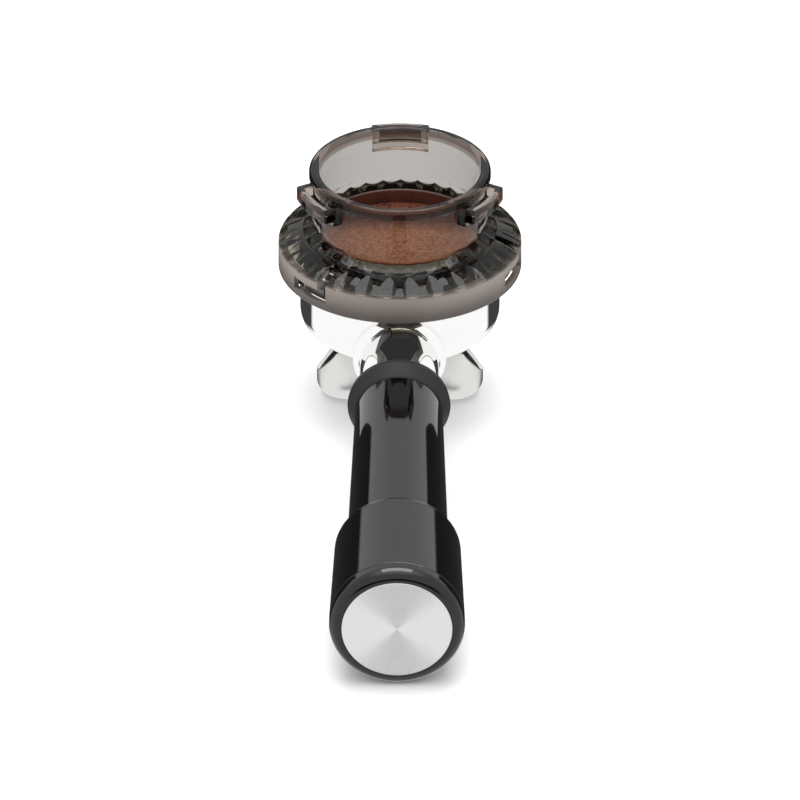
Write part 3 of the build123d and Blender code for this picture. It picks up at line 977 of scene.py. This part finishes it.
@dataclass
class TwinSpout:
    """The twin spout: one long trough with cupped arms, and the hub that stands in its middle."""

    node: str = "spout_body"
    wall: float = 1.5 * MM
    lip: float = 4.4 * MM
    plan_round: float = 11.2 * MM
    shoulder: tuple[float, float] = (21.5 * MM, 16.6 * MM)
    tip_z: float = 8.6 * MM
    foot_run: float = 9.0 * MM
    foot_rise: float = 5.2 * MM
    hub_r: float = 11.0 * MM
    hub_foot: float = 2.0 * MM
    hub_foot_round: float = 2.0 * MM
    hub_top_round: float = 0.5 * MM
    hub_spokes: int = 96
    belly: float = 0.43
    belly_rise: float = 0.45
    lip_edge: float = 0.2 * MM
    along: int = 161
    around: int = 40

    def heights(self, x: np.ndarray, reach: float, top: float) -> tuple[np.ndarray, np.ndarray]:
        """Lip and floor heights along the spout.

        Formula: the lip is level over the hub, falls gently to the shoulder and then straight to
        the tip; the floor is flat and then rises on a quarter ellipse to below the tip.

        Args:
            x: Distance from the middle.
            reach: Half the spout's length.
            top: Height of the hub's top.

        Returns:
            Lip height and floor height.
        """
        far = np.abs(x)
        stations = [0.0, self.hub_r, self.shoulder[0], reach]
        lip = np.interp(far, stations, [top, top, self.shoulder[1], self.tip_z])
        rise = np.clip((far - (reach - self.foot_run)) / self.foot_run, 0.0, 1.0)
        floor = self.foot_rise * (1.0 - np.sqrt(np.clip(1.0 - rise**2, 0.0, 1.0)))
        return lip, floor

    def half_loop(
        self, share: np.ndarray, half: np.ndarray, lip: np.ndarray, top: np.ndarray, low: np.ndarray
    ) -> np.ndarray:
        """One side of the section, from the lip down to the middle of the floor.

        Formula: a cubic curve from the lip, bowed out to the widest place and tucked in under to
        the middle of the floor.

        Args:
            share: Place along the curve, 0 at the lip and 1 at the floor.
            half: Half depth of the section.
            lip: Half width between the lips.
            top: Height of the lip.
            low: Height of the floor.

        Returns:
            Depth and height, stations by places by 2.
        """
        t = share[None, :, None]
        wide = half + self.belly * (half - lip)
        corners = [
            np.stack([lip, top], axis=-1),
            np.stack([wide, low + self.belly_rise * (top - low)], axis=-1),
            np.stack([wide, low], axis=-1),
            np.stack([0.0 * half, low], axis=-1),
        ]
        weights = [(1 - t) ** 3, 3 * t * (1 - t) ** 2, 3 * t**2 * (1 - t), t**3]
        return sum(weight * corner[:, None, :] for weight, corner in zip(weights, corners))

    def skin(self, inset: float, top: float, reach: float) -> np.ndarray:
        """The outer or inner skin, from the front lip under the floor to the back lip.

        Formula: stations crowd towards the tips as a sine; at each, the half depth is the slot
        plan's and the section is the two mirrored half loops.

        Args:
            inset: Distance inside the outer skin.
            top: Height of the hub's top.
            reach: Half the spout's length.

        Returns:
            Stations by places by 3.
        """
        x = (reach - inset) * np.sin(np.linspace(-math.pi / 2, math.pi / 2, self.along))
        bow = self.plan_round - inset
        past = np.clip(np.abs(x) - (reach - self.plan_round), 0.0, bow)
        half = np.sqrt(np.clip(bow**2 - past**2, 0.0, None))
        lip_z, floor_z = self.heights(x * reach / (reach - inset), reach, top)
        lip = np.clip(self.lip - inset, 0.0, None) * half / bow
        floor_z = np.minimum(floor_z + inset, lip_z - self.lip_edge)
        side = self.half_loop(np.linspace(0.0, 1.0, self.around), half, lip, lip_z, floor_z)
        depth = np.concatenate([-side[:, :, 0], side[:, -2::-1, 0]], axis=1)
        height = np.concatenate([side[:, :, 1], side[:, -2::-1, 1]], axis=1)
        return np.stack([np.broadcast_to(x[:, None], depth.shape), depth, height], axis=-1)

    def trough(self) -> bpy.types.Object:
        """Makes the trough: outer skin, lips and inner skin as one closed loop of places."""
        reach, _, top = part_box(self.node)[1]
        outer, inner = self.skin(0.0, top, reach), self.skin(self.wall, top, reach)
        piece = surface_piece("spout_trough", np.concatenate([outer, inner[:, ::-1]], axis=1), ring=True)
        weld(piece)
        return piece

    def hub(self) -> bpy.types.Object:
        """Makes the hub: a rounded drum turned about the axis."""
        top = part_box(self.node)[1][2]
        corners = [(0.0, self.hub_foot), (self.hub_r, self.hub_foot), (self.hub_r, top), (0.0, top)]
        profile = rounded_profile(corners, [0.0, self.hub_foot_round, self.hub_top_round, 0.0])
        return turned_piece("spout_hub", profile, self.hub_spokes)

    def build(self) -> None:
        """Makes and dresses the trough and hub."""
        for piece, words in ((self.trough(), "twin spout's cupped trough"), (self.hub(), "spout's hub")):
            dress(piece, PAINTED_SHADE_SPOUT_CHROME)
            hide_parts(self.node)
            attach(piece, Body.PORTAFILTER.value)
            report(piece, words)


@dataclass
class CarriedOver:
    """The moulded, cast and turned parts that keep their shape and take a finish."""

    finishes: Mapping[str, Finish] = field(default_factory=lambda: NODE_FINISHES)

    def build(self, nodes: Mapping[str, bpy.types.Object]) -> None:
        """Dresses each part.

        Args:
            nodes: The parts by name.
        """
        for name, finish in self.finishes.items():
            dress(nodes[name], finish)
            report(nodes[name], finish.name)


# ---- studio ------------------------------------------------------------------------------------


@dataclass
class Studio:
    """Bench, soft light and camera."""

    aim: tuple[float, float, float] = (0.0, -0.02941, 0.01341)
    elevation: float = 29.9
    distance: float = 6.720
    lens: float = 900.0
    shift: float = 0.000625
    side_step: float = 0.29
    bench_half: float = 3.0
    bench_drop: float = 0.02 * MM
    tent_glow: float = 1.05
    ground_dark: float = 0.95
    front_dark: float = 0.97
    zenith_glow: float = 0.9
    card_ends: tuple[float, float] = (26.0 * MM, 52.0 * MM)
    card_y: float = -21.5 * MM
    card_rise: float = 6.0 * MM
    # The black flag paints a dark reflection on the neck.
    flag_half: float = 9.0 * MM
    flag_y: float = -41.6 * MM
    flag_ends: tuple[float, float] = (-16.2 * MM, 3.5 * MM)
    lamp_place: tuple[float, float, float] = (0.0, 0.1, 1.1)
    lamp_aim: tuple[float, float, float] = (0.0, -0.04, 0.04)
    lamp_side: float = 0.8
    lamp_power: float = 9.0

    def bench(self) -> None:
        """Lays the bench under the object."""
        side = np.array([-self.bench_half, self.bench_half])
        x, y = np.meshgrid(side, side, indexing="ij")
        points = np.stack([x, y, np.full_like(x, -self.bench_drop)], axis=-1)
        top = surface_piece("bench_top", points, ring=False)
        top.data.materials.append(BENCH.material())
        top.visible_glossy = False

    def surround(self) -> None:
        """Builds the light tent: white all round, with dark ground behind.

        Formula: brightness is read from the direction alone. The ground and the low wall behind
        the object are dark, so is a low band in front of it, the rest is white, and straight
        overhead is brighter still.
        """
        world = bpy.data.worlds.new("light_tent")
        world.use_nodes = True
        bpy.context.scene.world = world
        shader = Shader(world.node_tree)
        _, y, z = shader.axes(shader.node("ShaderNodeTexCoord", output="Generated"))
        ground = y.smooth(0.44, 0.52) * (1.0 - z.smooth(0.16, 0.22)) * z.smooth(-0.64, -0.54)
        front = (1.0 - y.smooth(-0.93, -0.80)) * z.smooth(-0.34, -0.18) * (1.0 - z.smooth(-0.02, 0.08))
        zenith = z.smooth(0.72, 0.92)
        dark = (1.0 - ground * self.ground_dark) * (1.0 - front * self.front_dark)
        white = dark + zenith * self.zenith_glow
        glow = {"Color": WHITE, "Strength": white * self.tent_glow}
        light = shader.node("ShaderNodeBackground", inputs=glow)
        out = shader.tree.nodes.new("ShaderNodeOutputWorld")
        shader.tree.links.new(light.socket, out.inputs["Surface"])

    def card(
        self, name: str, across: Sequence[float], depth: float, up: Sequence[float], finish: Finish
    ) -> None:
        """Stands a small upright card near the object that only shows in reflections.

        Args:
            name: The card's name.
            across: Its left and right ends.
            depth: Where it stands along the handle.
            up: Its foot and top.
            finish: White to light the metal or black to darken it.
        """
        x, z = np.meshgrid(np.array(across), np.array(up), indexing="ij")
        card = surface_piece(name, np.stack([x, np.full_like(x, depth), z], axis=-1), ring=False)
        card.data.materials.append(finish.material())
        for ray in ("camera", "diffuse", "shadow", "transmission"):
            setattr(card, f"visible_{ray}", False)

    def cards(self) -> None:
        """Stands a white card on each side of the bowl, painting light reflections on it, and a black flag
        over the neck, painting a dark reflection on the neck.
        """
        low, high = (np.array(corner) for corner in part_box("portafilter_bowl"))
        up = (low[2], high[2] + self.card_rise)
        for name, side in (("card_left", -1), ("card_right", 1)):
            across = tuple(side * end for end in self.card_ends)
            self.card(name, across, self.card_y, up, WHITE_REFLECTION_CARD)
        up = tuple(high[2] + end for end in self.flag_ends)
        self.card("neck_dark_reflection_flag", (-self.flag_half, self.flag_half), self.flag_y, up, DARK_REFLECTION_FLAG)

    def lamp(self) -> None:
        """Hangs one soft square panel over the object."""
        data = bpy.data.lights.new("overhead_panel", "AREA")
        data.shape = "RECTANGLE"
        data.size = data.size_y = self.lamp_side
        data.energy = self.lamp_power
        lamp = bpy.data.objects.new("overhead_panel", data)
        lamp.location = self.lamp_place
        away = Vector(self.lamp_aim) - Vector(self.lamp_place)
        lamp.rotation_euler = away.to_track_quat("-Z", "Y").to_euler()
        bpy.context.scene.collection.objects.link(lamp)

    def camera(self) -> None:
        """Sets the long-lens camera above the handle's end."""
        data = bpy.data.cameras.new("view")
        data.lens = self.lens
        data.sensor_width = 36.0
        data.shift_x = self.shift
        data.clip_end = 30.0
        slope = math.radians(self.elevation)
        camera = bpy.data.objects.new("view", data)
        turn = math.radians(self.side_step)
        flat = math.cos(slope)
        back = Vector((math.sin(turn) * flat, -math.cos(turn) * flat, math.sin(slope)))
        camera.location = Vector(self.aim) + self.distance * back
        camera.rotation_euler = (math.pi / 2 - slope, 0.0, turn)
        bpy.context.scene.collection.objects.link(camera)
        bpy.context.scene.camera = camera

    def build(self) -> None:
        """Sets up the whole studio."""
        self.bench()
        self.surround()
        self.cards()
        self.lamp()
        self.camera()
        settings = bpy.context.scene.view_settings
        settings.view_transform = "Standard"
        settings.look = "None"


def main() -> None:
    """Builds the studio and the object."""
    logging.basicConfig(level=logging.INFO, format="%(name)s %(message)s")
    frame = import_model()
    Studio().build()
    CarriedOver().build(frame["nodes"])
    TwinSpout().build()
    GroundsHeap().build()
    EndDisc().build()


if __name__ == "__main__":
    main()
